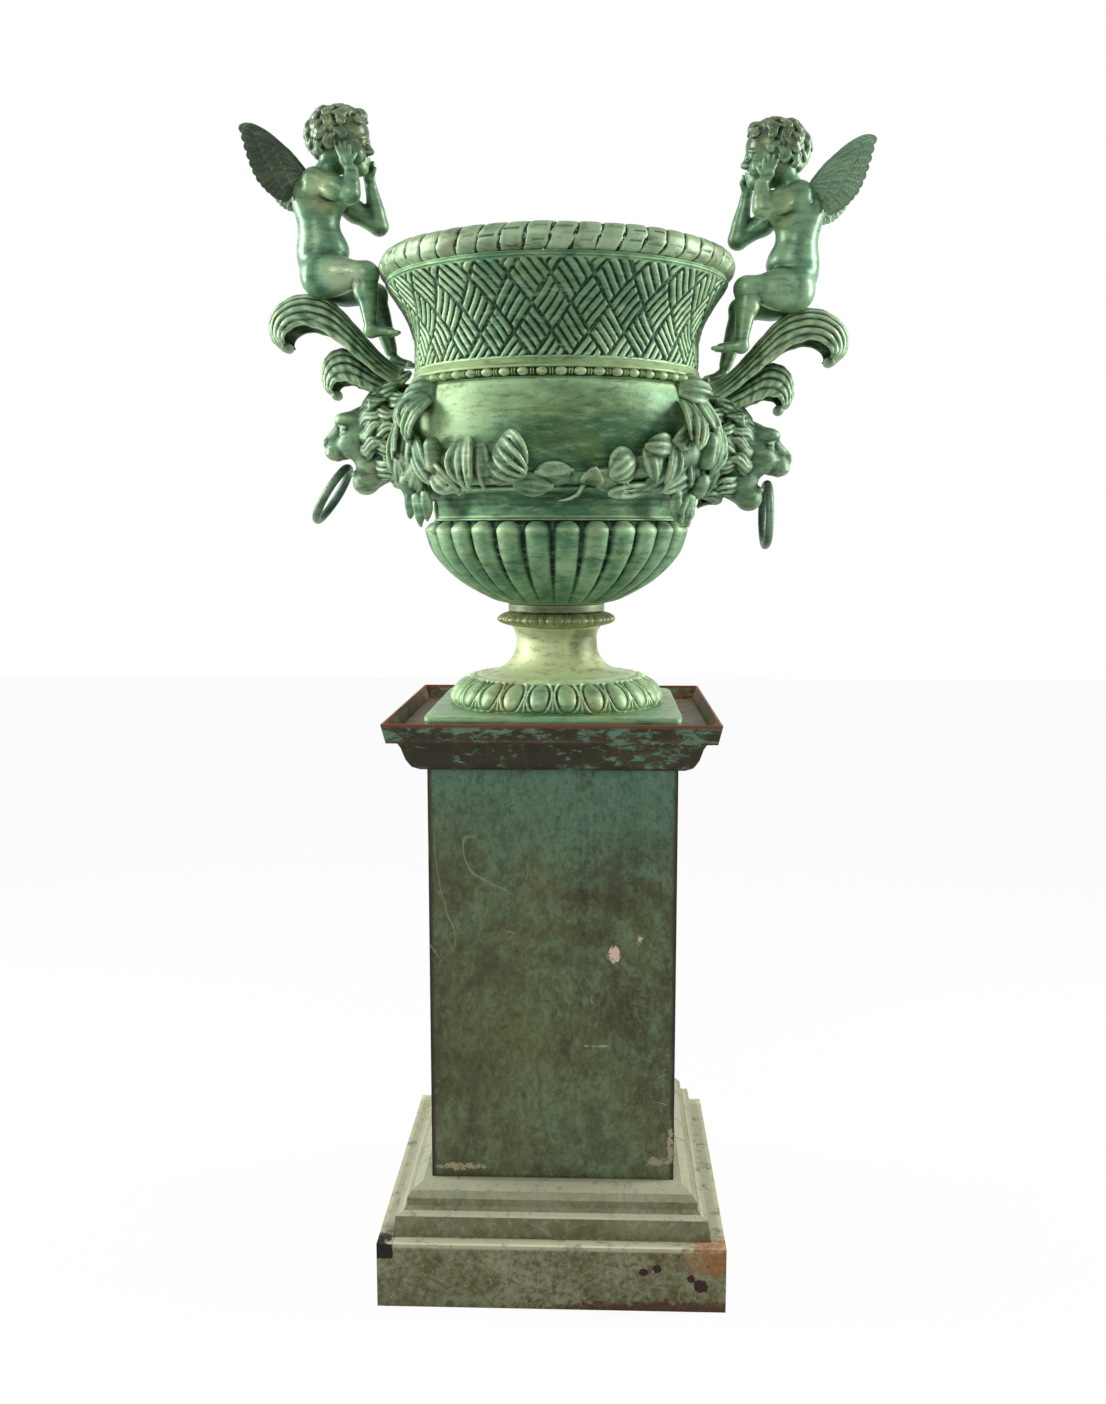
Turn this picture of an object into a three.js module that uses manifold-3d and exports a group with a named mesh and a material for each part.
// A garden urn of patinated bronze on a sheet-bronze pedestal, in millimetres, +Z up.
// The origin is on the floor under the middle of the pedestal. -Y is the front, and the figures sit
// at -X and +X.
import * as THREE from "three";
import { mergeVertices } from "three/addons/utils/BufferGeometryUtils.js";
import Module from "manifold-3d";

const wasm = await Module();
wasm.setup();

// Sides of the plain turned pieces, which the side pieces' backs follow
const bowlSides = 32;
const roundUp = 1 / Math.cos(Math.PI / bowlSides); // from a facet's middle to its corner

// Clearances
const seat = 0.3; // between two pieces that rest on each other
const seam = 0.3; // across a mitre

// Pedestal: four mitred lengths of folded sheet at each level
const sheet = 4;
const skirtHalf = 287;
const skirtHeight = 109;
const floorFlange = 34;
const stepHalf = 264;
const stepHeight = 34;
const stepTaper = 5;
const baseTopHalf = 222;
const ogeeHeight = 43;
const dieHalf = 204;
const dieHeight = 702;
const restFlange = 16; // how far the mouldings turn in under and over the die
const coveHalf = 214;
const coveHeight = 50;
const coveReach = 34;
const fasciaHalf = 262;
const fasciaHeight = 31;
const fasciaFlare = 7;
const trayThickness = 3;

// Urn plinth
const plinthHalf = 211;
const plinthHeight = 27;
const plinthWall = 7;
const plinthHole = 14;

// Foot: the ring of eggs and the stem
const eggCount = 24;
const eggRadius = 186;
const eggTopRadius = 150;
const eggHeight = 50;
const eggSwell = 7;
const castWall = 9;
const stemHeight = 134;
const stemWaist = 71;
const stemTop = 79;

// Leaf collar under the bowl
const leafCount = 16;
const collarRadius = 106;
const collarNeck = 84;
const collarHeight = 39;
const leafSwell = 5;

// Lower bowl with its gadroons
const lobeCount = 28;
const bowlRadius = 226;
const bowlFoot = 88;
const bowlHeight = 144;
const lobeDepth = 8;
const bowlFloor = 14;

// Belly with the hollow waist under it
const waistRadius = 205;
const waistHeight = 45;
const bowlTopRadius = waistRadius + 1;
const bellyFillet = waistRadius + 13;
const bellyRadius = 254;
const bellyTopRadius = bellyRadius - 16;
const bellyHeight = 215;
const bellyWall = 9;

// Ring of beads and the flared neck
const beadCount = 52;
const beadRadius = bellyTopRadius + 12;
const beadBand = 16;
const filletBand = 12;
const neckRadius = bellyTopRadius + 3;
const neckHeight = 150;
const neckFlare = 46;
const neckWall = 9;

// Rolled rim, bound like a basket's edge
const rollRadius = neckRadius + neckFlare - 8;
const rollThick = 21;
const wrapCount = 50;
const wrapDepth = 2;

// Tie rod that holds foot, collar and lower bowl together
const rodRadius = 9;
const rodTail = 2;
const rodPlay = 1;
const nutRadius = 19;
const nutHeight = 12;
const washerRadius = 30;
const washerThick = 4;

// Lion masks and the rings in their mouths
const ringRadius = 52.5;
const ringThick = 7.5;
const ringPlay = 0.5;
const ringReach = bellyRadius + 108;
const ringHigh = 74.8; // ring's hinge above the foot of the waist
const ringRestLeft = 32; // degrees that the left ring is swung out
const maskHeight = 198; // from the chin to the top of the mane
const groupLift = 14; // the left group sits this much high, the right this much low

// Bracket leaves
const leafReach = 132; // how far the upper leaf stands out past the ring's hinge
const upperLeafWidth = 94;
const lowerLeafWidth = 80;
const leafRibs = 4;
const ribDepth = 0.09; // of the leaf's section

// Figures
const figureHeight = 315; // above the seat
const seatReach = rollRadius + 117;
const seatDrop = 54; // of the seat below the middle of the roll
const wingThick = 8;

// Garlands
const swagStart = 22; // degrees from the middle of a mask
const swagThick = 30;
const swagSink = 6; // how far the swag's back goes into the belly before it is cut to it

// Levels
const baseTop = skirtHeight + stepHeight + ogeeHeight;
const dieBottom = baseTop + seat;
const dieTop = dieBottom + dieHeight;
const capBottom = dieTop + seat;
const capLedge = capBottom + coveHeight;
const capTop = capLedge + fasciaHeight;
const trayBottom = capLedge + sheet + seat;
const urnBottom = trayBottom + trayThickness + seat;
const footBottom = urnBottom + plinthHeight + seat;
const collarBottom = footBottom + stemHeight + seat;
const bowlBottom = collarBottom + collarHeight + seat;
const waistBottom = bowlBottom + bowlHeight + seat;
const bellyTop = waistBottom + bellyHeight;
const beadBottom = bellyTop + seat;
const neckBottom = beadBottom + beadBand + filletBand + seat;
const neckTop = neckBottom + neckHeight;
const rollCentre = neckTop + seat + rollThick + wrapDepth;

// Colours
const bronze = (colour, roughness = 0.5) =>
  new THREE.MeshStandardMaterial({ color: colour, roughness, metalness: 0.5 });
const patina = bronze(0x5f8a6c);
const palePatina = bronze(0x9db68c, 0.55);
const darkPatina = bronze(0x3f6650);
const polishedPatina = bronze(0x55806a, 0.32);
const panelPatina = bronze(0x4d5a42, 0.5);
const capPatina = bronze(0x3c3b2b, 0.5);
const basePatina = bronze(0x777a62, 0.6);
const hiddenBronze = bronze(0x6d5636, 0.45);

const V = (x, y) => new THREE.Vector2(x, y);
const P = (x, y, z) => new THREE.Vector3(x, y, z);
const turn = (angle) => [Math.cos(angle), Math.sin(angle)];
const clamp = THREE.MathUtils.clamp;
const smooth = THREE.MathUtils.smoothstep;

// A smooth line through a few points of an outline
const curve = (points, steps) => new THREE.SplineCurve(points.map(([r, z]) => V(r, z))).getPoints(steps);

// Any closed surface as a plain geometry with merged vertices, turned to face out
function closed(geometry) {
  const bare = geometry.clone();
  bare.deleteAttribute("normal");
  bare.deleteAttribute("uv");
  const merged = mergeVertices(bare, 1e-4);
  const at = merged.getAttribute("position");
  const corner = (i) => new THREE.Vector3().fromBufferAttribute(at, i);
  const faces = [];
  let volume = 0;
  for (let i = 0; i < merged.index.count; i += 3) {
    const [a, b, c] = [0, 1, 2].map((k) => merged.index.getX(i + k));
    if (a === b || b === c || c === a) continue;
    volume += corner(a).dot(corner(b).cross(corner(c)));
    faces.push(a, b, c);
  }
  if (volume < 0) faces.reverse();
  merged.setIndex(faces);
  merged.computeVertexNormals();
  return merged;
}

// Booleans
function solid(geometry) {
  const g = closed(geometry);
  const vertProperties = new Float32Array(g.getAttribute("position").array);
  const triVerts = new Uint32Array(g.index.array);
  return new wasm.Manifold(new wasm.Mesh({ numProp: 3, vertProperties, triVerts }));
}

function geometryOf(manifold) {
  const made = manifold.getMesh();
  const geometry = new THREE.BufferGeometry();
  geometry.setAttribute("position", new THREE.BufferAttribute(new Float32Array(made.vertProperties), 3));
  geometry.setIndex(new THREE.BufferAttribute(new Uint32Array(made.triVerts), 1));
  return geometry;
}

const joined = (geometries) => geometries.map(solid).reduce((whole, next) => whole.add(next));
const cut = (geometry, ...tools) =>
  geometryOf(tools.map(solid).reduce((left, tool) => left.subtract(tool), solid(geometry)));

// Rings of points, bridged one to the next. Neighbouring rings may differ in their number of points.
// The last ring is bridged to the first when the surface closes on itself. Otherwise both ends are capped.
function skin(rings, closesOnItself = false) {
  const points = rings.flat();
  const starts = [];
  rings.reduce((start, ring) => (starts.push(start), start + ring.length), 0);
  const faces = [];
  const bridge = (low, high) => {
    const [m, n] = [rings[low].length, rings[high].length];
    const a = (i) => starts[low] + (i % m);
    const b = (j) => starts[high] + (j % n);
    for (let i = 0, j = 0; i < m || j < n; ) {
      if (j >= n || (i < m && (i + 1) * n <= (j + 1) * m)) faces.push(a(i), a(++i), b(j));
      else faces.push(a(i), b(j + 1), b(j++));
    }
  };
  rings.slice(1).forEach((_, k) => bridge(k, k + 1));
  if (closesOnItself) bridge(rings.length - 1, 0);
  else {
    const cap = (k, up) => {
      const n = rings[k].length;
      for (let i = 1; i + 1 < n; i++)
        faces.push(starts[k], starts[k] + (up ? i : i + 1), starts[k] + (up ? i + 1 : i));
    };
    cap(0, false);
    cap(rings.length - 1, true);
  }
  const geometry = new THREE.BufferGeometry();
  geometry.setAttribute(
    "position",
    new THREE.Float32BufferAttribute(points.flatMap((p) => [p.x, p.y, p.z]), 3),
  );
  geometry.setIndex(faces);
  return closed(geometry);
}

// A level ring of points about the urn's axis
const ringAt = (count, radius, z) =>
  Array.from({ length: count }, (_, i) => {
    const angle = (2 * Math.PI * i) / count;
    const [c, s] = turn(angle);
    const r = typeof radius === "function" ? radius(angle, i) : radius;
    return P(r * c, r * s, typeof z === "function" ? z(angle, i) : z);
  });

// A turned piece: its outline closes on itself, and it is spun about the urn's axis
function turned(outline, segments) {
  const around = [...outline, outline[0].clone()];
  return closed(new THREE.LatheGeometry(around, segments).rotateX(Math.PI / 2));
}

// The outline of a folded sheet: a line and the same line set in by the sheet's thickness
function sheetOutline(line, thickness) {
  const left = (d) => V(-d.y, d.x);
  const inner = line.map((p, i) => {
    const ahead = (line[i + 1] ?? p).clone().sub(i + 1 < line.length ? p : line[i - 1]).normalize();
    const behind = i > 0 ? p.clone().sub(line[i - 1]).normalize() : ahead;
    const normal = left(ahead).add(left(behind)).normalize();
    return p.clone().addScaledVector(normal, thickness / normal.dot(left(behind)));
  });
  return [...line, ...inner.reverse()];
}

// One side of a square frame, mitred at both ends; the outline's x is the distance from the axis
function mitredSide(outline) {
  const side = new THREE.ExtrudeGeometry(new THREE.Shape(outline), { depth: 1, bevelEnabled: false });
  const at = side.getAttribute("position");
  for (let i = 0; i < at.count; i++) {
    const reach = at.getX(i);
    const end = at.getZ(i) > 0.5 ? 1 : -1;
    const height = at.getY(i);
    at.setXYZ(i, end * (reach - seam / Math.SQRT2), -reach, height);
  }
  return closed(side);
}

const sides = ["front", "right", "back", "left"];
const squareSet = (name, outline, material) =>
  sides.map((side, k) => {
    const geometry = mitredSide(outline).rotateZ((k * Math.PI) / 2);
    return piece(`${name}_${side}`, geometry, material);
  });

function piece(name, geometry, material) {
  const mesh = new THREE.Mesh(closed(geometry), material);
  mesh.name = name;
  return mesh;
}

// Pedestal
function pedestal() {
  const group = new THREE.Group();
  const stepTop = skirtHeight + stepHeight;
  const stepTopHalf = stepHalf - stepTaper;
  const base = [
    V(skirtHalf - floorFlange, 0),
    V(skirtHalf, 0),
    V(skirtHalf, skirtHeight),
    V(stepHalf, skirtHeight),
    V(stepTopHalf, stepTop),
    ...curve(
      [
        [stepTopHalf - 6, stepTop + 1],
        [stepTopHalf - 16, stepTop + 0.2 * ogeeHeight],
        [(stepTopHalf + baseTopHalf) / 2, stepTop + 0.62 * ogeeHeight],
        [baseTopHalf, baseTop - 3],
      ],
      5,
    ),
    V(baseTopHalf - 5, baseTop),
    V(dieHalf - restFlange, baseTop),
  ];
  const cap = [
    V(dieHalf - restFlange, capBottom),
    V(coveHalf, capBottom),
    ...curve(
      [
        [coveHalf + 0.35 * coveReach, capBottom + 0.12 * coveHeight],
        [coveHalf + 0.62 * coveReach, capBottom + 0.4 * coveHeight],
        [coveHalf + 0.8 * coveReach, capBottom + 0.78 * coveHeight],
        [coveHalf + coveReach, capLedge],
      ],
      6,
    ),
    V(fasciaHalf, capLedge),
    V(fasciaHalf + fasciaFlare, capTop),
  ];
  const [dieOut, dieIn] = [dieHalf, dieHalf - sheet];
  const die = [V(dieIn, dieBottom), V(dieOut, dieBottom), V(dieOut, dieTop), V(dieIn, dieTop)];
  group.add(...squareSet("base_moulding", sheetOutline(base, sheet), basePatina));
  group.add(...squareSet("die_panel", die, panelPatina));
  group.add(...squareSet("cap_moulding", sheetOutline(cap, sheet), capPatina));
  const trayHalf = fasciaHalf - sheet - seat;
  const tray = new THREE.BoxGeometry(2 * trayHalf, 2 * trayHalf, trayThickness);
  group.add(piece("tray_floor", tray.translate(0, 0, trayBottom + trayThickness / 2), capPatina));
  return group;
}

// Plinth of the urn, hollow underneath
function plinth() {
  const block = (half, low, high) =>
    new THREE.BoxGeometry(2 * half, 2 * half, high - low).translate(0, 0, (low + high) / 2);
  const top = urnBottom + plinthHeight;
  const hollow = block(plinthHalf - plinthWall, urnBottom - 1, top - plinthWall);
  const hole = new THREE.CylinderGeometry(plinthHole, plinthHole, 2 * plinthHeight, 24).rotateX(Math.PI / 2);
  return cut(block(plinthHalf, urnBottom, top), hollow, hole.translate(0, 0, top));
}

// Ring of eggs round the foot. Each egg swells between two grooves.
function eggMoulding() {
  const around = 3 * eggCount;
  const swell = [0, 1, 1];
  const egg = (radius, amount) => (angle, i) => radius + amount * eggSwell * (swell[i % 3] - 0.6);
  const run = eggRadius - eggTopRadius;
  const outline = [
    [eggRadius - 4, 0, 0.3],
    [eggRadius, 0.18, 0.8],
    [eggRadius - 0.26 * run, 0.6, 1.1],
    [eggRadius - 0.85 * run, 0.95, 0.5],
  ];
  const z = (share) => footBottom + share * eggHeight;
  const bore = eggTopRadius - castWall;
  const plain = 2 * eggCount;
  return skin(
    [
      ...outline.map(([r, share, amount]) => ringAt(around, egg(r, amount), z(share))),
      ringAt(plain, eggTopRadius, z(1)),
      ringAt(plain, bore, z(1)),
      ringAt(plain, bore, z(0.8)),
      ringAt(plain, eggRadius - 2 * castWall, z(0)),
    ],
    true,
  );
}

// Stem of the foot, a hollow casting whose flange sits inside the ring of eggs
function footStem() {
  const rim = eggTopRadius - castWall - seat;
  const flangeTop = footBottom + eggHeight;
  const top = footBottom + stemHeight;
  const rise = top - flangeTop;
  const outer = curve(
    [
      [rim, flangeTop],
      [rim - 30, flangeTop + 0.07 * rise],
      [stemWaist + 20, flangeTop + 0.18 * rise],
      [stemWaist + 4, flangeTop + 0.42 * rise],
      [stemWaist, flangeTop + 0.7 * rise],
      [stemTop, top],
    ],
    7,
  );
  const inner = curve(
    [
      [stemTop - castWall, top],
      [stemWaist - castWall, flangeTop + 0.6 * rise],
      [stemWaist + 10 - castWall, flangeTop + 0.2 * rise],
      [rim - castWall, footBottom + 0.7 * eggHeight],
      [rim - castWall, footBottom],
    ],
    4,
  );
  return turned([V(rim, footBottom), ...outer, ...inner], 22);
}

// Collar of overlapping leaves
function stemCollar() {
  const around = 3 * leafCount;
  const swell = [-0.6, 1, 1];
  const leaf = (radius, amount) => (angle, i) => radius + amount * leafSwell * swell[i % 3];
  const z = (share) => collarBottom + share * collarHeight;
  const bore = stemTop - castWall;
  return skin(
    [
      ringAt(around / 2, stemTop + 2, z(0)),
      ringAt(around, leaf(0.5 * (stemTop + collarRadius), 0.7), z(0.1)),
      ringAt(around, leaf(collarRadius - leafSwell, 1), z(0.27)),
      ringAt(around, leaf(0.5 * (collarNeck + collarRadius), 0.8), z(0.46)),
      ringAt(around / 2, collarNeck + 2, z(0.62)),
      ringAt(around / 2, collarNeck, z(1)),
      ringAt(around / 2, bore, z(1)),
      ringAt(around / 2, bore, z(0)),
    ],
    true,
  );
}

// Lower bowl: each gadroon is round across and has a round head at the top
function lowerBowl() {
  const around = 3 * lobeCount;
  const swell = [0, 1, 1];
  const lobe = (radius, amount) => (angle, i) => radius - amount * lobeDepth * (1 - swell[i % 3]);
  const outline = curve(
    [
      [bowlFoot + 30, 0.07],
      [bowlFoot + 84, 0.29],
      [bowlRadius - 14, 0.58],
      [bowlRadius, 0.87],
      [bowlRadius - 6, 0.965],
    ].map(([r, share]) => [r, bowlBottom + share * bowlHeight]),
    5,
  );
  const top = bowlBottom + bowlHeight;
  const headAmount = (k) => (k === outline.length - 1 ? 1.6 : 0.35 + 0.65 * smooth(k, 0, 3));
  const plain = lobeCount;
  const inner = curve(
    [
      [bowlTopRadius - castWall, top],
      [bowlRadius - 2 * castWall, bowlBottom + 0.8 * bowlHeight],
      [bowlRadius - 5 * castWall, bowlBottom + 0.42 * bowlHeight],
      [bowlFoot, bowlBottom + 0.06 * bowlHeight + bowlFloor],
      [washerRadius + 4, bowlBottom + bowlFloor],
    ],
    4,
  );
  inner.push(V(rodRadius + rodPlay, bowlBottom + bowlFloor));
  return skin(
    [
      ringAt(plain, rodRadius + rodPlay, bowlBottom),
      ringAt(plain, bowlFoot, bowlBottom),
      ...outline.map((p, k) => ringAt(around, lobe(p.x, headAmount(k)), p.y)),
      ringAt(plain, bowlTopRadius, top),
      ...inner.map((p) => ringAt(plain, p.x, p.y)),
    ],
    true,
  );
}

// Outer line of waist and belly, which the masks and garlands also follow
const bellyLine = [
  V(waistRadius - 1, waistBottom),
  V(waistRadius + 1, waistBottom + 0.55 * waistHeight),
  V(bellyFillet - 6, waistBottom + 0.88 * waistHeight),
  V(bellyFillet, waistBottom + waistHeight),
  V(bellyFillet, waistBottom + waistHeight + 6),
  ...curve(
    [
      [bellyFillet + 5, 0],
      [bellyFillet + 0.62 * (bellyRadius - bellyFillet), 0.2],
      [bellyRadius, 0.6],
      [bellyTopRadius + 0.5 * (bellyRadius - bellyTopRadius), 0.88],
      [bellyTopRadius, 1],
    ].map(([r, share]) => [r, THREE.MathUtils.lerp(waistBottom + waistHeight + 7, bellyTop, share)]),
    6,
  ),
];

// The urn's outer radius at a height, read from the belly's line
function bellyAt(z) {
  const k = bellyLine.findIndex((p) => p.y > z);
  if (k < 1) return k === 0 ? bellyLine[0].x : bellyTopRadius;
  const [a, b] = [bellyLine[k - 1], bellyLine[k]];
  return THREE.MathUtils.lerp(a.x, b.x, (z - a.y) / (b.y - a.y));
}

function bellyBowl() {
  const inner = [
    V(bellyTopRadius - bellyWall, bellyTop),
    V(bellyRadius - bellyWall - 2, waistBottom + 0.66 * bellyHeight),
    V(bellyRadius - 2.2 * bellyWall, waistBottom + 0.42 * bellyHeight),
    V(waistRadius - bellyWall, waistBottom + 0.16 * bellyHeight),
    V(waistRadius - bellyWall, waistBottom),
  ];
  const around = bowlSides;
  return skin(
    [
      ...bellyLine.map((p) => ringAt(around, p.x, p.y)),
      ...inner.map((p) => ringAt(around / 2, p.x - 1, p.y)),
    ],
    true,
  );
}

// Ring of beads with the plain fillet over it
function beadRing() {
  const around = 2 * beadCount;
  const bead = (radius, amount) => (angle, i) => radius + (i % 2 ? amount : 0);
  const z = (height) => beadBottom + height;
  const fillet = neckRadius + 2;
  const bore = bellyTopRadius - bellyWall;
  return skin(
    [
      ringAt(around / 2, bellyTopRadius + 3, z(0)),
      ringAt(around, bead(beadRadius - 5, 5), z(0.45 * beadBand)),
      ringAt(around / 2, fillet, z(beadBand)),
      ringAt(around / 2, fillet, z(beadBand + filletBand)),
      ringAt(around / 4, bore, z(beadBand + filletBand)),
      ringAt(around / 4, bore, z(0)),
    ],
    true,
  );
}

// Neck, flared to the rim
const neckLine = curve(
  [
    [neckRadius, 0],
    [neckRadius + 0.02 * neckFlare, 0.36],
    [neckRadius + 0.24 * neckFlare, 0.56],
    [neckRadius + 0.57 * neckFlare, 0.74],
    [neckRadius + neckFlare, 0.94],
  ].map(([r, share]) => [r, neckBottom + share * neckHeight]),
  6,
);

function neck() {
  const outer = [...neckLine, V(neckRadius + neckFlare - 2, neckTop)];
  const inner = [
    V(neckRadius + neckFlare - 2 * neckWall, neckTop),
    V(neckRadius + 0.4 * neckFlare - neckWall, neckBottom + 0.7 * neckHeight),
    V(neckRadius - neckWall, neckBottom + 0.36 * neckHeight),
    V(neckRadius - neckWall, neckBottom),
  ];
  return skin(
    [
      ...outer.map((p) => ringAt(bowlSides, p.x, p.y)),
      ...inner.map((p) => ringAt(bowlSides / 2, p.x, p.y)),
    ],
    true,
  );
}

// Rolled rim: the binding winds round the roll, so each wrap leans
function rimRoll() {
  const around = 2 * wrapCount;
  const section = 5;
  const rings = Array.from({ length: section }, (_, j) => {
    const tilt = (2 * Math.PI * j) / section - Math.PI / 2;
    const [c, s] = turn(tilt);
    return Array.from({ length: around }, (_, i) => {
      const thick = rollThick + (i % 2 ? wrapDepth : 0);
      const angle = ((i + (2 * j) / section) * 2 * Math.PI) / around;
      const [cx, cy] = turn(angle);
      const r = rollRadius + thick * c;
      return P(r * cx, r * cy, rollCentre + thick * s);
    });
  });
  return wound(rings);
}

// Joins rings of a twisted roll, the last to the first with its turn of one wrap
function wound(rings) {
  const around = rings[0].length;
  const faces = [];
  rings.forEach((_, j) => {
    const next = (j + 1) % rings.length;
    const shift = next === 0 ? 2 : 0;
    for (let i = 0; i < around; i++) {
      const a = j * around + i;
      const b = j * around + ((i + 1) % around);
      const c = next * around + ((i + shift) % around);
      const d = next * around + ((i + 1 + shift) % around);
      faces.push(a, b, d, a, d, c);
    }
  });
  const geometry = new THREE.BufferGeometry();
  const numbers = rings.flat().flatMap((p) => [p.x, p.y, p.z]);
  geometry.setAttribute("position", new THREE.Float32BufferAttribute(numbers, 3));
  geometry.setIndex(faces);
  return closed(geometry);
}

// Rounded forms for masks and figures
const ball = (centre, size, sides = 10, bands = 7) =>
  new THREE.SphereGeometry(1, sides, bands).scale(...size.toArray()).translate(...centre.toArray());

// A limb: a tapered rod with round ends
function limb(from, to, startRadius, endRadius, sides = 5) {
  const length = from.distanceTo(to);
  const outline =
    sides > 6
      ? [
          V(0, -startRadius),
          V(0.8 * startRadius, -0.6 * startRadius),
          V(startRadius, 0),
          V(endRadius, length),
          V(0.8 * endRadius, length + 0.6 * endRadius),
          V(0, length + endRadius),
        ]
      : [V(0, -0.8 * startRadius), V(startRadius, 0), V(endRadius, length), V(0, length + 0.8 * endRadius)];
  const direction = to.clone().sub(from).normalize();
  const stand = new THREE.Quaternion().setFromUnitVectors(P(0, 1, 0), direction);
  return new THREE.LatheGeometry(outline, sides).applyQuaternion(stand).translate(...from.toArray());
}

// What the side pieces are cut by, so that they sit on the bowl with the seat's clearance
const rollOuter = (rollRadius + rollThick + wrapDepth) * roundUp;
const bowlBlank = (() => {
  const outline = [
    V(0, waistBottom - 20),
    V(waistRadius, waistBottom - 20),
    ...bellyLine,
    V(beadRadius * roundUp, beadBottom),
    V(beadRadius * roundUp, beadBottom + beadBand + filletBand),
    ...neckLine,
    V(rollOuter, neckTop - 8),
    V(rollOuter, rollCentre + rollThick),
    V(0, rollCentre + rollThick),
  ].map((p) => V(p.x > 0 ? p.x + seat : 0, p.y));
  return new THREE.LatheGeometry(outline, bowlSides).rotateX(Math.PI / 2);
})();

// The side pieces are drawn at +X, u outwards, at the mean height of the two groups
const hinge = P(ringReach, 0, waistBottom + ringHigh);

// Forms drawn round an origin at a drawing's own size, which the scale brings to the piece's size
function drawing(origin, scale) {
  const at = ([out, side, up]) => P(out, side, up).multiplyScalar(scale).add(origin);
  return {
    at,
    ball: (centre, size, sides, bands) => ball(at(centre), P(...size).multiplyScalar(scale), sides, bands),
    limb: (from, to, start, end, sides) => limb(at(from), at(to), scale * start, scale * end, sides),
  };
}

// The room that the ring needs in the mouth, turned about the ring's hinge
function mouthRoom() {
  const clear = ringThick + ringPlay;
  const half = 0.86 * ringRadius;
  const reach = (y) => clear + ringRadius - Math.sqrt(ringRadius ** 2 - y ** 2);
  const steps = [0.25, 0.5, 0.75, 1].map((share) => share * half);
  const outline = [
    V(0, -half),
    ...[...steps].reverse().map((y) => V(reach(y), -y)),
    V(reach(0), 0),
    ...steps.map((y) => V(reach(y), y)),
    V(0, half),
  ];
  return new THREE.LatheGeometry(outline, 16).translate(...hinge.toArray());
}

// Lion mask: skull, brows, muzzle and jaw in a mane of tufts that lie back on the bowl
const drawnMask = 198;
function lionMask() {
  const { ball: lump, limb: tuft } = drawing(hinge, maskHeight / drawnMask);
  const face = [
    lump([-34, 0, 60], [52, 48, 50], 9, 6),
    lump([4, 0, 30], [36, 33, 27], 8, 5),
    lump([31, 0, 42], [12, 15, 11], 6, 4),
    tuft([-54, 0, -8], [-26, 0, -22], 32, 21, 7),
    ...[-1, 1].map((side) => lump([4, 22 * side, 76], [17, 17, 12], 6, 4)),
  ];
  const fringe = [80, 44, 10, -24].flatMap((lean) =>
    [-1, 1].map((side) => {
      const [c, s] = turn(THREE.MathUtils.degToRad(lean));
      const [y, z] = [60 * c * side, 44 + 60 * s];
      return tuft([-42, y, z], [-74, 1.36 * y, 44 + 1.36 * (z - 44)], 25, 24, 5);
    }),
  );
  const back = tuft([-92, 0, 16], [-108, 0, 108], 60, 42, 8);
  return geometryOf(joined([...face, ...fringe, back]).subtract(solid(mouthRoom())));
}

// An acanthus leaf that rolls over at its tip. Its section is a ribbed arch from edge to edge over the ridge.
const drawnLeaf = 132;
function curledLeaf(ridgeLine, edgeLine, width) {
  const { at } = drawing(hinge, leafReach / drawnLeaf);
  const line = (route) =>
    new THREE.CatmullRomCurve3(route.map(([u, z]) => at([u, 0, z])), false, "centripetal");
  const [ridge, edge] = [line(ridgeLine), line(edgeLine)];
  const steps = 8;
  const across = 2 * leafRibs;
  const rings = Array.from({ length: steps + 1 }, (_, k) => {
    const t = k / steps;
    const low = edge.getPointAt(t);
    const rise = ridge.getPointAt(t).sub(low);
    const half = (width / 2) * (0.6 + 0.4 * Math.sin(Math.PI * clamp(0.05 + 0.8 * t, 0, 1)));
    const arch = (tilt, share) =>
      low.clone().addScaledVector(rise, share * Math.cos(tilt)).add(P(0, share * half * Math.sin(tilt), 0));
    const top = Array.from({ length: across + 1 }, (_, i) =>
      arch((Math.PI / 2) * ((2 * i) / across - 1), i % 2 ? 1 : 1 - ribDepth),
    );
    const under = [1, 0, -1].map((side) => arch((Math.PI / 3) * side, 0.55));
    return [...top, ...under];
  });
  return skin(rings);
}

const upperRidge = [
  [-100, 170],
  [-61, 194],
  [15, 276],
  [60, 292],
  [100, 284],
  [129, 256],
  [130, 222],
  [108, 198],
];
const upperEdge = [
  [-94, 126],
  [-50, 162],
  [12, 212],
  [48, 232],
  [72, 232],
  [92, 224],
  [98, 212],
  [96, 206],
];
const lowerRidge = [
  [-84, 150],
  [-40, 176],
  [0, 202],
  [30, 192],
  [42, 164],
  [38, 136],
  [22, 118],
];
const lowerEdge = [
  [-74, 116],
  [-30, 132],
  [-4, 142],
  [10, 140],
  [18, 132],
  [18, 128],
  [12, 124],
];

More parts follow.
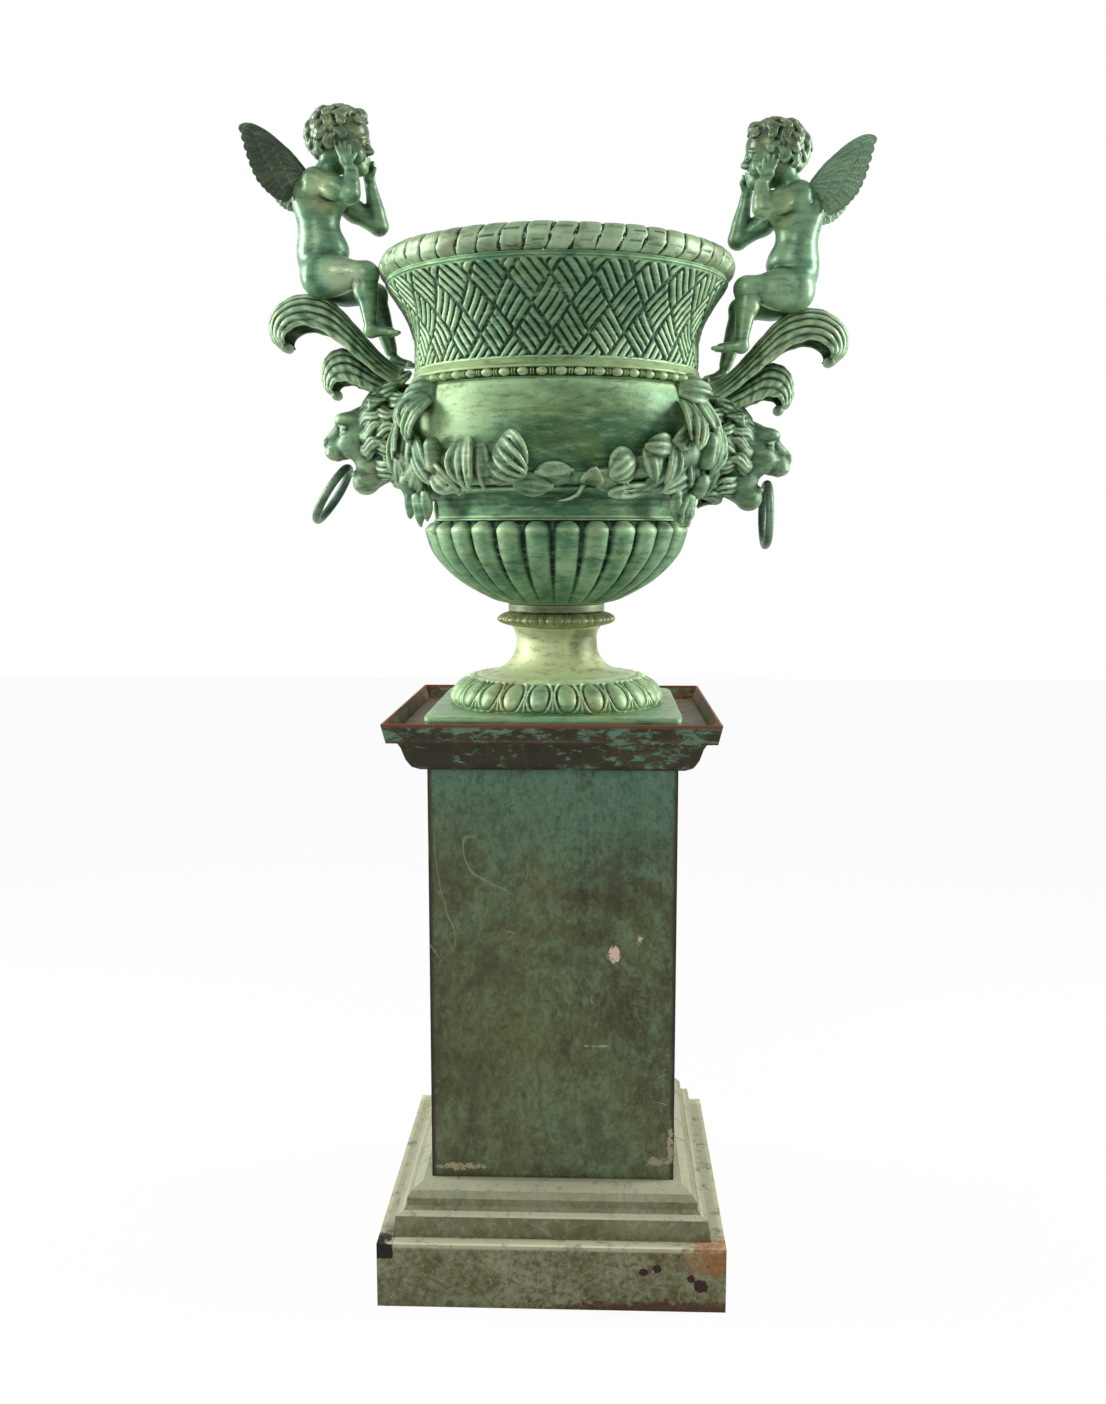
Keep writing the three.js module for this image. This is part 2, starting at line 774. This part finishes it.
// Seated child: pelvis, chest, head, arms that hold the head, and legs that reach for the bowl
const seatLevel = rollCentre - seatDrop;
const drawnFigure = 315;
const figure = drawing(P(seatReach, 0, seatLevel), figureHeight / drawnFigure);
function childParts() {
  const { ball: lump, limb: rod } = figure;
  const near = -1;
  const far = 1;
  const body = [
    lump([2, 0, 26], [42, 50, 40], 8, 5),
    rod([3, 0, 62], [8, 0, 158], 40, 41, 8),
    rod([5, -36, 186], [5, 36, 186], 21, 21, 5),
    rod([-2, 0, 196], [-18, 0, 228], 21, 20, 5),
    lump([-30, 0, 262], [49, 46, 53], 9, 6),
  ];
  const arms = [
    rod([4, 38 * near, 188], [-57, 56 * near, 160], 21, 16),
    rod([-57, 56 * near, 160], [-46, 48 * near, 208], 15, 11),
    lump([-43, 44 * near, 226], [14, 12, 27], 5, 3),
    rod([4, 38 * far, 188], [-90, 54 * far, 124], 21, 15),
    rod([-90, 54 * far, 124], [-75, 42 * far, 196], 15, 11),
    lump([-68, 37 * far, 214], [14, 12, 27], 5, 3),
  ];
  const legs = [
    rod([6, 29 * near, 38], [-72, 54 * near, 52], 32, 21, 7),
    rod([-73, 54 * near, 50], [-84, 62 * near, -36], 20, 12),
    rod([-80, 62 * near, -48], [-126, 60 * near, -50], 12, 8),
    rod([4, 29 * far, 35], [-70, 55 * far, 22], 32, 21, 7),
    rod([-71, 56 * far, 20], [-110, 62 * far, -84], 20, 12),
    rod([-110, 62 * far, -92], [-138, 56 * far, -106], 12, 8),
  ];
  return [...body, ...arms, ...legs];
}

// A small feathered wing, standing out behind the shoulder
function wing(side) {
  const shape = new THREE.Shape();
  shape.moveTo(-8, 4);
  shape.bezierCurveTo(10, 44, 44, 66, 98, 94);
  shape.lineTo(104, 84);
  shape.lineTo(98, 58);
  shape.lineTo(97, 34);
  shape.lineTo(88, 12);
  shape.lineTo(84, -8);
  shape.lineTo(68, -22);
  shape.lineTo(58, -38);
  shape.lineTo(38, -42);
  shape.bezierCurveTo(24, -42, 6, -26, -8, 4);
  const blade = new THREE.ExtrudeGeometry(shape, {
    depth: wingThick,
    bevelEnabled: false,
    curveSegments: 4,
  });
  const scale = figureHeight / drawnFigure;
  return blade
    .translate(0, 0, -wingThick / 2)
    .rotateX(Math.PI / 2)
    .scale(scale, 1, scale)
    .rotateZ(0.42 * side)
    .translate(...figure.at([28, 22 * side, 182]).toArray());
}

// A swag that follows the belly from mask to mask, full beside the masks and thin in the middle
const swagForm = [
  { degrees: 22, high: 0.9, low: 0.22, out: 1.5 },
  { degrees: 34, high: 0.8, low: 0.08, out: 1.4 },
  { degrees: 46, high: 0.58, low: 0.2, out: 1.2 },
  { degrees: 58, high: 0.5, low: 0.24, out: 1 },
  { degrees: 66, high: 0.38, low: 0.22, out: 0.6 },
  { degrees: 74, high: 0.48, low: 0.2, out: 0.9 },
  { degrees: 84, high: 0.36, low: 0.22, out: 0.6 },
  { degrees: 96, high: 0.36, low: 0.22, out: 0.6 },
];

function garland(facing) {
  const steps = 20;
  const form = (degrees, key) => {
    const from90 = 90 - Math.abs(degrees - 90);
    const next = Math.max(1, swagForm.findIndex((row) => row.degrees > from90));
    const [a, b] = [swagForm[next - 1], swagForm[next]];
    return THREE.MathUtils.lerp(a[key], b[key], (from90 - a.degrees) / (b.degrees - a.degrees));
  };
  const rings = Array.from({ length: steps + 1 }, (_, k) => {
    const degrees = swagStart + ((180 - 2 * swagStart) * k) / steps;
    const [c, s] = turn(facing * THREE.MathUtils.degToRad(degrees));
    const [high, low] = ["high", "low"].map((key) => waistBottom + form(degrees, key) * bellyHeight);
    const bulge = swagThick * form(degrees, "out") * (k % 2 ? 0.8 : 1.05);
    const place = (share, out) => {
      const z = THREE.MathUtils.lerp(low, high, share);
      const r = bellyAt(z) + out;
      return P(r * c, r * s, z);
    };
    const outer = [0.2, 0.5, 0.8].map((share) => place(share, bulge * Math.sin(Math.PI * share)));
    const back = [1, 0.5, 0].map((share) => place(share, -swagSink));
    return [...outer, ...back];
  });
  return skin(rings);
}

// The ring in a lion's mouth, hanging from its hinge and swung out by an angle in degrees
function mouthRing(swing) {
  return new THREE.TorusGeometry(ringRadius, ringThick, 6, 20)
    .rotateY(Math.PI / 2)
    .translate(0, 0, -ringRadius)
    .rotateY(-THREE.MathUtils.degToRad(swing))
    .translate(...hinge.toArray());
}

// A solid made thicker by at least the seat's clearance on the sides that another piece rests against
function swollen(geometry) {
  const reach = 2 * seat;
  const ways = [P(0, 0, 0), P(0, 1, 1), P(0, -1, 1), P(1, 0, -1), P(-1, 0, -1)];
  return joined(ways.map((way) => geometry.clone().translate(...way.multiplyScalar(reach).toArray())));
}

// The masks as they are placed, which the garlands are cut by
const masks = [];

// Both groups come from one drawing: the left is its mirror image, and stands a little higher
function sideGroup(name, direction) {
  const place = (geometry) =>
    closed(geometry).scale(direction, 1, 1).translate(0, 0, -direction * groupLift);
  const free = (geometry, ...others) => {
    const blank = solid(bowlBlank.clone().translate(0, 0, direction * groupLift));
    return geometryOf(others.reduce((left, other) => left.subtract(other), solid(geometry).subtract(blank)));
  };
  const mask = free(lionMask());
  const upper = free(curledLeaf(upperRidge, upperEdge, upperLeafWidth), swollen(mask));
  const lower = free(curledLeaf(lowerRidge, lowerEdge, lowerLeafWidth), swollen(mask), swollen(upper));
  const child = free(geometryOf(joined(childParts())), swollen(upper), swollen(lower));
  const swing = direction < 0 ? ringRestLeft : 0;
  const wings = [[-1, "near"], [1, "far"]].map(([side, word]) => {
    const blade = geometryOf(solid(wing(side)).subtract(swollen(child)));
    return piece(`wing_${name}_${word}`, place(blade), darkPatina);
  });
  masks.push(place(mask));
  return [
    piece(`lion_mask_${name}`, place(mask), patina),
    piece(`upper_leaf_${name}`, place(upper), darkPatina),
    piece(`lower_leaf_${name}`, place(lower), darkPatina),
    piece(`child_${name}`, place(child), polishedPatina),
    ...wings,
    piece(`mouth_ring_${name}`, place(mouthRing(swing)), darkPatina),
  ];
}

// Tie rod with a nut and washer at each end
function tieRod() {
  const rodSides = 16;
  const bore = (rodRadius + seat) / Math.cos(Math.PI / rodSides);
  const rod = (radius, low, high, count) =>
    new THREE.CylinderGeometry(radius, radius, high - low, count)
      .rotateX(Math.PI / 2)
      .translate(0, 0, (low + high) / 2);
  const drilled = (name, radius, low, high, count) => {
    const hole = rod(bore, low - 1, high + 1, rodSides);
    return piece(name, cut(rod(radius, low, high, count), hole), hiddenBronze);
  };
  const underPlinth = urnBottom + plinthHeight - plinthWall - seat;
  const lowWasher = underPlinth - washerThick;
  const lowNut = lowWasher - seat - nutHeight;
  const onFloor = bowlBottom + bowlFloor + seat;
  const highNut = onFloor + washerThick + seat;
  return [
    piece("tie_rod", rod(rodRadius, lowNut - rodTail, highNut + nutHeight + rodTail, rodSides), hiddenBronze),
    drilled("washer_lower", washerRadius, lowWasher, underPlinth, rodSides),
    drilled("nut_lower", nutRadius, lowNut, lowWasher - seat, 6),
    drilled("washer_upper", washerRadius, onFloor, onFloor + washerThick, rodSides),
    drilled("nut_upper", nutRadius, highNut, highNut + nutHeight, 6),
  ];
}

const groups = [...sideGroup("left", -1), ...sideGroup("right", 1)];
const hung = (facing) => {
  const swag = solid(garland(facing)).subtract(solid(bowlBlank));
  return geometryOf(masks.reduce((left, mask) => left.subtract(swollen(mask)), swag));
};
const urn = new THREE.Group();
urn.add(
  piece("urn_plinth", plinth(), palePatina),
  piece("egg_moulding", eggMoulding(), palePatina),
  piece("foot_stem", footStem(), palePatina),
  piece("stem_collar", stemCollar(), palePatina),
  piece("lower_bowl", lowerBowl(), patina),
  piece("belly_bowl", bellyBowl(), patina),
  piece("bead_ring", beadRing(), patina),
  piece("neck", neck(), patina),
  piece("rim_roll", rimRoll(), palePatina),
  piece("garland_front", hung(-1), darkPatina),
  piece("garland_back", hung(1), darkPatina),
  ...tieRod(),
  ...groups,
);

const whole = new THREE.Group();
whole.add(pedestal(), urn);
export default whole;
